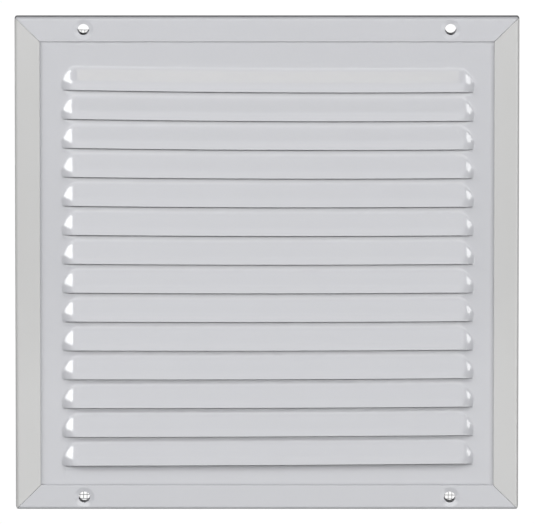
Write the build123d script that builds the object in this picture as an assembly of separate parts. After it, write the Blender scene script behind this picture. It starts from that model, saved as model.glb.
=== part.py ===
from build123d import *
import os

# Louvred air grille: a pressed louvre sheet and an insect mesh in a mitred channel frame.
# Millimetres. +Z is up, the front faces -Y, and the rear of the frame lies on the wall plane Y = 0.
# The origin is the centre of the four fixing holes on that plane.

# Frame
outer_size = 200.0
frame_depth = 5.0
frame_face = 9.9
frame_sheet = 0.8
bend_outer_r = 1.2
bend_inner_r = 0.4
flange_edge_r = 0.3
plan_corner_r = 1.3
mitre_gap = 0.16

# Fixing holes, in the front and rear flanges of the top and bottom members
hole_d = 4.5
hole_spacing_x = 145.5
hole_spacing_z = 190.0
dimple_d = 8.0
dimple_depth = 0.4

# Louvre panel
panel_size = 184.8
panel_sheet = 0.8
louvre_count = 14
louvre_pitch = 11.69
first_slit_z = 69.5
louvre_height = 10.1
louvre_half_width = 81.8
louvre_protrusion = 3.0
lip_rise = 0.7
lip_r = 1.5
root_r = 6.0
end_slope_width = 5.6
end_round_r = 2.0
end_overrun = 0.8

# Corner keys
key_leg = 22.0
key_width = 6.3
key_thickness = 2.8
key_web_gap = 0.1
key_chamfer = 0.5

# Insect mesh, modelled as one thin sheet
mesh_thickness = 0.5
mesh_width = 192.0
mesh_top_z = 93.7
mesh_bottom_z = -97.8
mesh_skew = 0.7
mesh_screw_d = 5.2

half = outer_size / 2
front_y = -frame_depth
panel_front_y = front_y + frame_sheet
hole_centres = [
    (sx * hole_spacing_x / 2, sz * hole_spacing_z / 2) for sx in (-1, 1) for sz in (-1, 1)
]


def channel_section():
    """The U section of the frame in the YZ plane, its open side facing down."""
    bottom = half - frame_face
    with BuildSketch(Plane.YZ) as section:
        with Locations((-frame_depth / 2, half - frame_face / 2)):
            Rectangle(frame_depth, frame_face)
        fillet(section.vertices().group_by(Axis.Y)[-1], bend_outer_r)
        with BuildSketch(mode=Mode.PRIVATE) as hollow:
            inner_top = half - frame_sheet
            with Locations((-frame_depth / 2, (inner_top + bottom - 2) / 2)):
                Rectangle(frame_depth - 2 * frame_sheet, inner_top - bottom + 2)
            fillet(hollow.vertices().group_by(Axis.Y)[-1], bend_inner_r)
        add(hollow.sketch, mode=Mode.SUBTRACT)
        fillet(section.vertices().group_by(Axis.Y)[0], flange_edge_r)
    return section.sketch


def mitred_member():
    """The top member: a channel cut at 45 degrees at both ends, with rounded outer corners."""
    bar = extrude(channel_section(), half, both=True)
    gap = mitre_gap / 2 * 2**0.5
    wedge = Plane.XZ * Polygon((0, gap), (half + 1, half + 1 + gap), (-half - 1, half + 1 + gap), align=None)
    bar &= extrude(wedge, 2 * frame_depth, both=True)
    outline = Plane.XZ * RectangleRounded(outer_size, outer_size, plan_corner_r)
    bar &= extrude(outline, 2 * frame_depth, both=True)
    return bar


def fixing_holes(member, z):
    """Bores both flanges of a member and dishes the front face around each hole."""
    dish_r = ((dimple_d / 2) ** 2 + dimple_depth**2) / (2 * dimple_depth)
    for x in (-hole_spacing_x / 2, hole_spacing_x / 2):
        member -= Pos(x, -frame_depth / 2, z) * Rot(90, 0, 0) * Cylinder(hole_d / 2, 3 * frame_depth)
        member -= Pos(x, front_y + dimple_depth - dish_r, z) * Sphere(dish_r)
    return member


def sind(angle):
    return Vector(1, 0).rotate(Axis.Z, angle).Y


def cosd(angle):
    return Vector(1, 0).rotate(Axis.Z, angle).X


def ogee(width, rise, top_r, foot_r):
    """Outline points of a smooth step that falls by rise over width.

    It starts level, bends by top_r into a straight slope and runs out level again by foot_r. Each
    point is (distance along, height left), in order: arc, its middle, slope start, slope end, arc
    middle, foot.
    """
    low, high = 0.0, 80.0
    for _ in range(60):
        angle = (low + high) / 2
        straight = (rise - (top_r + foot_r) * (1 - cosd(angle))) / sind(angle)
        if (top_r + foot_r) * sind(angle) + straight * cosd(angle) > width:
            low = angle
        else:
            high = angle
    half_angle = angle / 2
    return [
        (0, rise),
        (top_r * sind(half_angle), rise - top_r * (1 - cosd(half_angle))),
        (top_r * sind(angle), rise - top_r * (1 - cosd(angle))),
        (width - foot_r * sind(angle), foot_r * (1 - cosd(angle))),
        (width - foot_r * sind(half_angle), foot_r * (1 - cosd(half_angle))),
        (width, 0),
    ]


def step_face(points):
    """The area under an ogee in the YZ plane: height reaches forward, distance runs up."""
    p = [(-height, distance) for distance, height in points]
    with BuildSketch(Plane.YZ) as section:
        with BuildLine():
            ThreePointArc(p[0], p[1], p[2])
            Line(p[2], p[3])
            ThreePointArc(p[3], p[4], p[5])
            Line(p[5], (0, p[0][1]))
            Line((0, p[0][1]), p[0])
        make_face()
    return section.sketch


def louvre_bulge():
    """The solid under one louvre: a slope over its whole height, bounded by steeper rounded ends.

    Z = 0 is the slit line and Y = 0 the front of the sheet. The ends run a little past the top of
    the slope, so that the two surfaces cross instead of touching.
    """
    slope = ogee(louvre_height - lip_rise, louvre_protrusion, lip_r, root_r)
    slope = [(distance + lip_rise, height) for distance, height in slope]
    bulge = extrude(step_face(slope), louvre_half_width, both=True)
    bulge += Pos(0, -louvre_protrusion / 2, lip_rise / 2) * Box(
        2 * louvre_half_width, louvre_protrusion, lip_rise
    )
    edge = ogee(end_slope_width, louvre_protrusion, end_round_r, end_round_r)
    edge_face = step_face(edge)
    corner_z = louvre_height + end_overrun - end_slope_width
    corner_x = louvre_half_width - end_slope_width
    quarter = revolve(edge_face, axis=Axis.Y, revolution_arc=90)
    if quarter.bounding_box().min.X < -0.01:
        quarter = mirror(quarter, about=Plane.YZ)
    side = Rot(0, 90, 0) * extrude(edge_face, corner_z)
    side = Pos(0, 0, -side.bounding_box().min.Z) * side
    end = Pos(0, 0, corner_z) * quarter + side
    ends = Pos(corner_x, 0, 0) * end
    ends += mirror(ends, about=Plane.YZ)
    ends += Pos(0, 0, corner_z) * extrude(edge_face, corner_x, both=True)
    ends += Pos(0, -louvre_protrusion / 2, corner_z / 2) * Box(
        2 * corner_x, louvre_protrusion, corner_z
    )
    return bulge & ends


def louvre_panel():
    """The sheet with every louvre raised on the front and hollow behind, open under its lip.

    The lip has drawn back up from the slit as it was pressed forward, so its edge lies on a plane
    that tilts from the slit line to the lip rise.
    """
    panel = Pos(0, panel_front_y + panel_sheet / 2, 0) * Box(panel_size, panel_sheet, panel_size)
    hollow = louvre_bulge()
    reach = louvre_protrusion + 1
    under_lip = Polygon(
        (0, 0), (-reach, reach * lip_rise / louvre_protrusion), (-reach, -1), (0, -1), align=None
    )
    raised = hollow - extrude(Plane.YZ * under_lip, outer_size, both=True)
    for row in range(louvre_count):
        z = first_slit_z - row * louvre_pitch
        panel += Pos(0, panel_front_y, z) * raised
        panel -= Pos(0, panel_front_y + panel_sheet, z) * hollow
    return panel


def corner_key():
    """The top right key: a flat L beside the panel edge, between the flanges of two members."""
    outer = half - frame_sheet - key_web_gap
    inner = outer - key_width
    end = half - key_leg
    shape = Polygon(
        (end, outer), (outer, outer), (outer, end), (inner, end), (inner, inner), (end, inner), align=None
    )
    key = extrude(Plane.XZ * shape, -key_thickness)
    key = Pos(0, panel_front_y - key.bounding_box().min.Y, 0) * key
    return chamfer(key.faces().sort_by(Axis.Y)[0].edges(), key_chamfer)


def insect_mesh():
    """A thin sheet against the rear flanges, lying a little low and turned, with screw clearances."""
    height = mesh_top_z - mesh_bottom_z
    sheet = Box(mesh_width, mesh_thickness, height)
    sheet = Rot(0, mesh_skew, 0) * sheet
    sheet_y = -frame_sheet - mesh_thickness / 2
    sheet = Pos(0, sheet_y, (mesh_top_z + mesh_bottom_z) / 2) * sheet
    for x, z in hole_centres:
        sheet -= Pos(x, sheet_y, z) * Rot(90, 0, 0) * Cylinder(mesh_screw_d / 2, 4 * mesh_thickness)
    return sheet


plain = mitred_member()
drilled = fixing_holes(mitred_member(), hole_spacing_z / 2)
key = corner_key()

nodes = {
    "louvre_panel": louvre_panel(),
    "frame_top": drilled,
    "frame_right": Rot(0, 90, 0) * plain,
    "frame_bottom": Rot(0, 180, 0) * drilled,
    "frame_left": Rot(0, 270, 0) * plain,
    "corner_key_top_right": key,
    "corner_key_bottom_right": Rot(0, 90, 0) * key,
    "corner_key_bottom_left": Rot(0, 180, 0) * key,
    "corner_key_top_left": Rot(0, 270, 0) * key,
    "insect_mesh": insect_mesh(),
}

os.makedirs("parts", exist_ok=True)
for name, shape in nodes.items():
    export_step(shape, f"parts/{name}.step")
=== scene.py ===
"""Looks of the louvred air grille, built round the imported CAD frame. Metres, +Z up, front facing -Y."""

import math

import bmesh
import bpy
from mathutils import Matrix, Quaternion, Vector


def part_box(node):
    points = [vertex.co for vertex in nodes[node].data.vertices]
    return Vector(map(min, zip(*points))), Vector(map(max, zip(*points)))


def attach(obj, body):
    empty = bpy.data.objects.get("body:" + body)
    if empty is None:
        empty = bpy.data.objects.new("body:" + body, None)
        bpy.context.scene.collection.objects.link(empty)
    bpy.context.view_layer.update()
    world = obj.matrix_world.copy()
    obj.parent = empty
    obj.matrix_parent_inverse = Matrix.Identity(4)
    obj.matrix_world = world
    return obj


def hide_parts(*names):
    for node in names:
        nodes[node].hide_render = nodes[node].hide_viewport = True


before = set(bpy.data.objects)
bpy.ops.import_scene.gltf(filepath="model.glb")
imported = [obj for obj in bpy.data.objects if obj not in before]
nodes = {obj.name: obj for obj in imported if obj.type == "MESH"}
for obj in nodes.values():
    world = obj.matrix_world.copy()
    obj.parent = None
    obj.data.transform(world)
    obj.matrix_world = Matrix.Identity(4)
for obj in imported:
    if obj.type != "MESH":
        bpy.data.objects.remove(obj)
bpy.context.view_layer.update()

MM = 0.001


# ---------------------------------------------------------------- shared helpers


def link(name, data):
    """Puts a new object with this mesh, camera or lamp into the scene."""
    thing = bpy.data.objects.new(name, data)
    bpy.context.scene.collection.objects.link(thing)
    return thing


def smooth_piece(name, bm, material):
    """Turns a closed bmesh into a smooth-shaded object with one material."""
    bmesh.ops.recalc_face_normals(bm, faces=bm.faces)
    mesh = bpy.data.meshes.new(name)
    bm.to_mesh(mesh)
    bm.free()
    for polygon in mesh.polygons:
        polygon.use_smooth = True
    mesh.materials.append(material)
    return link(name, mesh)


# ---------------------------------------------------------------- materials

# The middle of a noise, which is stretched over the wanted range and held at its ends.
NOISE_LOW, NOISE_HIGH = 0.3, 0.7
# The darker tone of each finish, as a share of its colour.
COAT_DARK = 0.99
METAL_DARK = 0.82
# Painted light: the grille has one white coat, but the bars and the panel are tinted a little cooler than
# the side members, for the way the light falls on them.
COOL_WHITE = (0.61, 0.616, 0.645)
WARM_WHITE = (0.62, 0.62, 0.615)


def shader(name):
    material = bpy.data.materials.new(name)
    material.use_nodes = True
    tree = material.node_tree
    return material, tree, tree.nodes["Principled BSDF"]


def add(tree, kind, **sockets):
    node = tree.nodes.new(kind)
    for key, value in sockets.items():
        node.inputs[key.replace("_", " ")].default_value = value
    return node


def noise(tree, scale, detail=2.0, stretch=(1, 1, 1)):
    """A noise texture in object space, whose scale counts features per metre."""
    coords = tree.nodes.new("ShaderNodeTexCoord")
    mapping = tree.nodes.new("ShaderNodeMapping")
    mapping.inputs["Scale"].default_value = stretch
    tree.links.new(coords.outputs["Object"], mapping.inputs["Vector"])
    texture = add(tree, "ShaderNodeTexNoise", Scale=scale, Detail=detail)
    tree.links.new(mapping.outputs["Vector"], texture.inputs["Vector"])
    return texture.outputs["Fac"]


def spread(tree, fac, low, high):
    """Maps the middle of a noise to the range low..high."""
    node = tree.nodes.new("ShaderNodeMapRange")
    node.inputs["From Min"].default_value = NOISE_LOW
    node.inputs["From Max"].default_value = NOISE_HIGH
    node.inputs["To Min"].default_value = low
    node.inputs["To Max"].default_value = high
    tree.links.new(fac, node.inputs["Value"])
    return node.outputs["Result"]


def two_tone(tree, fac, a, b):
    mix = tree.nodes.new("ShaderNodeMix")
    mix.data_type = "RGBA"
    mix.inputs["A"].default_value = (*a, 1)
    mix.inputs["B"].default_value = (*b, 1)
    tree.links.new(fac, mix.inputs["Factor"])
    return mix.outputs["Result"]


def bump(tree, height, distance, strength=1.0, under=None):
    node = add(tree, "ShaderNodeBump", Strength=strength, Distance=distance)
    tree.links.new(height, node.inputs["Height"])
    if under is not None:
        tree.links.new(under, node.inputs["Normal"])
    return node.outputs["Normal"]


def powder_coat(name, colour):
    """Gloss powder coat: a fine orange peel over slow waves, with a faint drift in colour."""
    material, tree, bsdf = shader(name)
    shade = tuple(c * COAT_DARK for c in colour)
    tone = two_tone(tree, spread(tree, noise(tree, 45, 3), 0, 1), shade, colour)
    tree.links.new(tone, bsdf.inputs["Base Color"])
    rough = spread(tree, noise(tree, 160, 3), 0.28, 0.31)
    tree.links.new(rough, bsdf.inputs["Roughness"])
    waves = bump(tree, noise(tree, 120, 1), 0.01 * MM)
    peel = bump(tree, noise(tree, 600, 2), 0.02 * MM, under=waves)
    tree.links.new(peel, bsdf.inputs["Normal"])
    bsdf.inputs["Coat Weight"].default_value = 1.0
    bsdf.inputs["Coat Roughness"].default_value = 0.06
    tree.links.new(peel, bsdf.inputs["Coat Normal"])
    return material


def bare_metal(name, colour, rough_low, rough_high, grain):
    """Mill-finish aluminium, with rolling marks that run along one axis."""
    material, tree, bsdf = shader(name)
    dull = tuple(c * METAL_DARK for c in colour)
    tone = two_tone(tree, spread(tree, noise(tree, 60, 4, grain), 0, 1), dull, colour)
    tree.links.new(tone, bsdf.inputs["Base Color"])
    rough = spread(tree, noise(tree, 300, 3, grain), rough_low, rough_high)
    tree.links.new(rough, bsdf.inputs["Roughness"])
    marks = bump(tree, noise(tree, 900, 2, grain), 0.008 * MM)
    tree.links.new(marks, bsdf.inputs["Normal"])
    bsdf.inputs["Metallic"].default_value = 1.0
    return material


def wear(node, material):
    mesh = node.data
    mesh.materials.clear()
    mesh.materials.append(material)


# Three copies of one white coat; side_coat's warmer white and the others' cooler white are painted light,
# not different paints.
panel_coat = powder_coat("panel_coat", COOL_WHITE)
bar_coat = powder_coat("bar_coat", COOL_WHITE)
side_coat = powder_coat("side_coat", WARM_WHITE)
key_metal = bare_metal("key_metal", (0.62, 0.62, 0.63), 0.35, 0.5, (1, 1, 6))
# mesh_wire is darkened well below bare aluminium: painted shade for wires seen dark against the white
# through the fixing holes.
mesh_wire = bare_metal("mesh_wire", (0.3, 0.3, 0.31), 0.3, 0.45, (1, 1, 1))

for name in ("frame_top", "frame_bottom"):
    wear(nodes[name], bar_coat)
for name in ("frame_left", "frame_right"):
    wear(nodes[name], side_coat)
for name in nodes:
    if name.startswith("corner_key"):
        wear(nodes[name], key_metal)


# ---------------------------------------------------------------- louvre panel

SHEET = 0.8 * MM
LOUVRES = 14
PITCH = 11.69 * MM
FIRST_SLIT_Z = 69.85 * MM
LOUVRE_HEIGHT = 10.1 * MM
SLIT_HALF = 81.2 * MM
DOME_HALF = 83.2 * MM
DOME_RISE = 2.2 * MM
FIELD_X = 0.4 * MM
LIP_RISE = 0.7 * MM
LIP_TILT = math.radians(12.5)
SLOPE = math.radians(21.5)
FIRST_ROW_SLOPE = math.radians(22.7)
BEND_BLEND = 0.15 * MM
END_WIDTH = 7.5 * MM
DOME_POWER = 2.8
CORNER_POWER = 0.8
FOOT_BLEND = 0.3 * MM
EDGE_ROUND = 0.36 * MM
SEAT_GAP = 0.3 * MM
SLIT_SINK = 0.08 * MM
SINK_RUN = 1.6 * MM
LIP_SAG_TOP = 0.6 * MM
LIP_SAG_BOTTOM = 0.16 * MM
ROW_FAN = 0.0057
# Depth of each row as a share of the full depth: a middle value and a swing, turned by radians a row.
ROW_DEPTH = 0.985
ROW_DEPTH_SWING = 0.015
ROW_DEPTH_TURN = 2.1
# Columns of the grid on each side: a few in the margin, many over a domed end, few in the middle.
MARGIN_COLUMNS, END_COLUMNS, MIDDLE_COLUMNS = 4, 36, 10
# The many start this far past DOME_HALF and stop this many end widths inside SLIT_HALF.
DENSE_START = 1.2 * MM
DENSE_END_WIDTHS = 1.2
# Steps of the grid from the top of a louvre down to its lip.
LOUVRE_STEPS = 24
# A slit parts the sheet only up to this far short of SLIT_HALF.
SLIT_END_TRIM = 0.2 * MM
BEVEL_ANGLE = math.radians(50)
BEVEL_SEGMENTS = 3


def louvre_surface(protrusion, slope):
    """Height of a louvre over the sheet at x across and z above its slit.

    A gentle lip zone bends into a steeper straight slope, and both ends are domed. The domes bulge
    out past the slit's ends. Where they meet the sheet they run out over a small foot.
    """
    reach = LOUVRE_HEIGHT - LIP_RISE - FOOT_BLEND / math.tan(slope)
    bend_at = reach - protrusion / math.tan(slope)

    def height(x, z):
        down = max(z - LIP_RISE, 0.0)
        gentle = down * math.tan(LIP_TILT)
        steep = (down - bend_at) * math.tan(slope)
        near = max(BEND_BLEND - abs(gentle - steep), 0.0) / BEND_BLEND
        drop = max(gentle, steep) + near * near * BEND_BLEND / 4
        half = DOME_HALF - (DOME_HALF - SLIT_HALF) * math.exp(-z / DOME_RISE)
        out = max((abs(x - FIELD_X) - half) / END_WIDTH + 1, 0.0)
        ends = out ** (DOME_POWER * CORNER_POWER)
        fall = (ends + (drop / protrusion) ** CORNER_POWER) ** (1 / CORNER_POWER)
        raw = protrusion * (1 - fall)
        if raw > FOOT_BLEND:
            return raw
        return max(raw + FOOT_BLEND, 0.0) ** 2 / (4 * FOOT_BLEND)

    return height


def slit_line(row, x):
    """Height of a slit: the rows fan out towards the left and sag a little in the middle."""
    along = row / (LOUVRES - 1)
    sag = LIP_SAG_TOP + (LIP_SAG_BOTTOM - LIP_SAG_TOP) * along
    tilt = -ROW_FAN * (1 - 2 * along)
    return FIRST_SLIT_Z - row * PITCH + tilt * x - sag * (1 - (x / DOME_HALF) ** 2)


def steps(start, stop, count):
    """Even steps from start, without stop itself."""
    return [start + (stop - start) * i / count for i in range(count)]


def louvre_sheet():
    """The panel as one closed sheet, slit under every lip and raised above it."""
    low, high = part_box("louvre_panel")
    deepest = high.y - SHEET - low.y
    dense_out = DOME_HALF + DENSE_START
    dense_in = SLIT_HALF - DENSE_END_WIDTHS * END_WIDTH
    half = steps(high.x, dense_out, MARGIN_COLUMNS)
    half += steps(dense_out, dense_in, END_COLUMNS)
    half += steps(dense_in, 0, MIDDLE_COLUMNS)
    xs = [-x for x in half] + [0.0] + half[::-1]
    in_slit = [abs(x - FIELD_X) < SLIT_HALF - SLIT_END_TRIM for x in xs]
    front_y = high.y - SHEET + SEAT_GAP

    bm = bmesh.new()

    def join(upper, lower):
        for i in range(len(xs) - 1):
            bm.faces.new((upper[i], lower[i], lower[i + 1], upper[i + 1]))

    above = [bm.verts.new((x, front_y, high.z)) for x in xs]
    for t in (1 / 3, 2 / 3):
        drops = [slit_line(0, x) + LOUVRE_HEIGHT - high.z for x in xs]
        line = [bm.verts.new((x, front_y, high.z + drop * t)) for x, drop in zip(xs, drops)]
        join(above, line)
        above = line
    for row in range(LOUVRES):
        slits = [slit_line(row, x) for x in xs]
        protrusion = deepest * (ROW_DEPTH + ROW_DEPTH_SWING * math.cos(ROW_DEPTH_TURN * row))
        height = louvre_surface(protrusion, SLOPE if row else FIRST_ROW_SLOPE)
        lifts = [LIP_RISE * height(x, 0.0) / protrusion for x in xs]
        for step in range(LOUVRE_STEPS + 1):
            t = step / LOUVRE_STEPS
            line = []
            for x, lift, slit_z in zip(xs, lifts, slits):
                z = LOUVRE_HEIGHT + (lift - LOUVRE_HEIGHT) * t
                line.append(bm.verts.new((x, front_y - height(x, z), slit_z + z)))
            join(above, line)
            above = line
        # Along the slit the sheet starts again from vertices of its own, which parts it from the lip.
        sinks = [SLIT_SINK * lift / LIP_RISE for lift in lifts]
        above = [
            bm.verts.new((x, front_y + sinks[i], slits[i])) if in_slit[i] else above[i]
            for i, x in enumerate(xs)
        ]
        last = row == LOUVRES - 1
        ends = [low.z if last else slit_line(row + 1, x) + LOUVRE_HEIGHT for x in xs]
        for t in (1 / 3, 2 / 3, 1) if last else (1 / 3, 2 / 3):
            line = []
            for x, sink, slit_z, end in zip(xs, sinks, slits, ends):
                left = max(1 - t * (slit_z - end) / SINK_RUN, 0.0)
                line.append(bm.verts.new((x, front_y + sink * left, slit_z + (end - slit_z) * t)))
            join(above, line)
            above = line
    # Thickness: the same surface again, one sheet further back, closed along every free edge.
    fronts = list(bm.faces)
    free = [e for e in bm.edges if e.is_boundary]
    back = {v: bm.verts.new(v.co + Vector((0, SHEET, 0))) for v in list(bm.verts)}
    for edge in free:
        face = edge.link_faces[0]
        loop = next(lp for lp in face.loops if lp.edge == edge)
        a, b = loop.vert, loop.link_loop_next.vert
        bm.faces.new((b, a, back[a], back[b]))
    for face in fronts:
        bm.faces.new([back[v] for v in reversed(face.verts)])
    piece = smooth_piece("louvre_sheet", bm, panel_coat)
    rounding = piece.modifiers.new("edges", "BEVEL")
    rounding.width = EDGE_ROUND
    rounding.segments = BEVEL_SEGMENTS
    rounding.limit_method = "ANGLE"
    rounding.angle_limit = BEVEL_ANGLE
    rounding.use_clamp_overlap = True
    normals = piece.modifiers.new("normals", "WEIGHTED_NORMAL")
    normals.keep_sharp = False
    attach(piece, "root")
    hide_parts("louvre_panel")


louvre_sheet()


# ---------------------------------------------------------------- woven insect mesh

MESH_SKEW = math.radians(0.7)
WARP_PITCH = 25.4 / 18 * MM
WEFT_PITCH = 25.4 / 16 * MM
WIRE_R = 0.128 * MM
WIRE_SIDES = 4
# How far a wire swings to each side of the mesh's middle, as a share of its radius.
WEAVE_SWING = 0.95


def woven(name, along, across_pitch, along_pitch, half_along, half_across, centre, sign):
    """One set of parallel wires of a plain weave, each passing over and under the other set."""
    bm = bmesh.new()
    across = Vector((along.z, 0, -along.x))
    front = Vector((0, -1, 0))
    wires = int(half_across / across_pitch)
    crossings = int(half_along / along_pitch)
    for i in range(-wires, wires + 1):
        rings = []
        for j in range(-crossings, crossings + 1):
            side = sign if (i + j) % 2 else -sign
            point = centre + across * (i * across_pitch) + along * (j * along_pitch)
            point += front * (side * WIRE_R * WEAVE_SWING)
            ring = []
            for k in range(WIRE_SIDES):
                a = (k + 0.5) * math.tau / WIRE_SIDES
                offset = across * (WIRE_R * math.cos(a)) + front * (WIRE_R * math.sin(a))
                ring.append(bm.verts.new(point + offset))
            rings.append(ring)
        for here, there in zip(rings, rings[1:]):
            for k in range(WIRE_SIDES):
                n = (k + 1) % WIRE_SIDES
                bm.faces.new((here[k], here[n], there[n], there[k]))
        bm.faces.new(rings[0][::-1])
        bm.faces.new(rings[-1])
    piece = smooth_piece(name, bm, mesh_wire)
    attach(piece, "root")
    return piece


low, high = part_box("insect_mesh")
mesh_centre = (low + high) / 2
# The turned sheet's own sides, from the box that holds it.
cos, sin = math.cos(MESH_SKEW), math.sin(MESH_SKEW)
span_x, span_z = high.x - low.x, high.z - low.z
wide = (span_x * cos - span_z * sin) / (cos * cos - sin * sin)
tall = (span_z * cos - span_x * sin) / (cos * cos - sin * sin)
up = Vector((sin, 0, cos))
right = Vector((cos, 0, -sin))
inset = 2 * WIRE_R
half_tall = tall / 2 - inset
half_wide = wide / 2 - inset
warp = woven("mesh_warp_wires", up, WARP_PITCH, WEFT_PITCH, half_tall, half_wide, mesh_centre, 1)
weft = woven("mesh_weft_wires", right, WEFT_PITCH, WARP_PITCH, half_wide, half_tall, mesh_centre, -1)
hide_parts("insect_mesh")
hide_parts("insect_mesh")


# ---------------------------------------------------------------- camera

ELEVATION = math.radians(12.2)
DISTANCE = 7.0
VIEW_WIDTH = 0.2125
# The camera aims at the front face, a little right of the middle and above it.
AIM_X = 0.2 * MM
AIM_Z = 0.85 * MM

front_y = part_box("frame_top")[0].y
aim = Vector((AIM_X, front_y, AIM_Z))
camera_data = bpy.data.cameras.new("camera")
camera = link("camera", camera_data)
camera.location = aim + DISTANCE * Vector((0, -math.cos(ELEVATION), math.sin(ELEVATION)))
camera.rotation_euler = (aim - camera.location).to_track_quat("-Z", "Y").to_euler()
camera_data.sensor_width = 36.0
camera_data.lens = camera_data.sensor_width * DISTANCE / VIEW_WIDTH
camera_data.clip_end = 100.0
bpy.context.scene.camera = camera


# ---------------------------------------------------------------- floor and light

FLOOR_Z = -1.8
FLOOR_HALF = 30
STUDIO_WHITE = 1.02
STUDIO_DIM = 0.04


def white_to_camera(tree, kind, output):
    """Shades a surface or the world white to the camera, and dim for the light it gives."""
    tree.nodes.clear()
    path = tree.nodes.new("ShaderNodeLightPath")
    seen = add(tree, kind, Color=(1, 1, 1, 1), Strength=STUDIO_WHITE)
    lit = add(tree, kind, Color=(1, 1, 1, 1), Strength=STUDIO_DIM)
    mix = tree.nodes.new("ShaderNodeMixShader")
    out = tree.nodes.new(output)
    tree.links.new(path.outputs["Is Camera Ray"], mix.inputs["Fac"])
    tree.links.new(lit.outputs[0], mix.inputs[1])
    tree.links.new(seen.outputs[0], mix.inputs[2])
    tree.links.new(mix.outputs[0], out.inputs["Surface"])


def stage_floor():
    """A wide pale floor, well below the grille, that reads as a white sweep to the camera."""
    bm = bmesh.new()
    corners = [(-1, -1), (1, -1), (1, 1), (-1, 1)]
    bm.faces.new([bm.verts.new((FLOOR_HALF * x, FLOOR_HALF * y, FLOOR_Z)) for x, y in corners])
    mesh = bpy.data.meshes.new("floor")
    bm.to_mesh(mesh)
    bm.free()
    material = bpy.data.materials.new("floor_paper")
    material.use_nodes = True
    white_to_camera(material.node_tree, "ShaderNodeEmission", "ShaderNodeOutputMaterial")
    mesh.materials.append(material)
    floor = link("floor", mesh)


def studio_world():
    world = bpy.data.worlds.new("studio")
    bpy.context.scene.world = world
    world.use_nodes = True
    white_to_camera(world.node_tree, "ShaderNodeBackground", "ShaderNodeOutputWorld")


def softbox(name, azimuth, elevation, distance, size, brightness, tint=(1, 1, 1), roll=0):
    """A rectangular lamp aimed at the grille, hidden from the camera.

    Azimuth turns from the front to the viewer's right. Power grows with the lamp's area, so that
    brightness alone sets how bright its reflection is.
    """
    a, e = math.radians(azimuth), math.radians(elevation)
    data = bpy.data.lights.new(name, "AREA")
    data.shape = "RECTANGLE"
    data.size, data.size_y = size
    data.energy = brightness * math.pi * size[0] * size[1]
    data.color = tint
    lamp = link(name, data)
    away = Vector((math.sin(a) * math.cos(e), -math.cos(a) * math.cos(e), math.sin(e)))
    lamp.location = away * distance
    aimed = (-away).to_track_quat("-Z", "Y") @ Quaternion((0, 0, 1), math.radians(roll))
    lamp.rotation_euler = aimed.to_euler()
    lamp.visible_camera = False


stage_floor()
studio_world()
# key_left and key_right make the highlights on the left and right louvre ends, and light the rest.
# warm_strip is reflected by the first louvre's slope alone. top_front and low_right_fill light the
# whole front. front_fill shines back most from just under each lip, and front_low from the lower
# part of the frame.
softbox("key_left", -50, 23, 1.6, (1.2, 0.5), 7.8)
softbox("key_right", 52, 28, 1.6, (1.15, 0.38), 5.8, roll=-50)
softbox("warm_strip", 0, 35.3, 1.6, (0.2, 0.06), 2.4, tint=(1.0, 0.93, 0.72))
softbox("top_front", 0, 17, 2.0, (2.2, 1.1), 1.0)
softbox("low_right_fill", 38, -25, 2.0, (1.45, 1.25), 2.0)
softbox("front_fill", 0, -2.8, 2.0, (0.9, 0.36), 3.0)
softbox("front_low", 0, -17.5, 2.0, (1.2, 0.3), 1.2)
bpy.context.scene.view_settings.view_transform = "Standard"
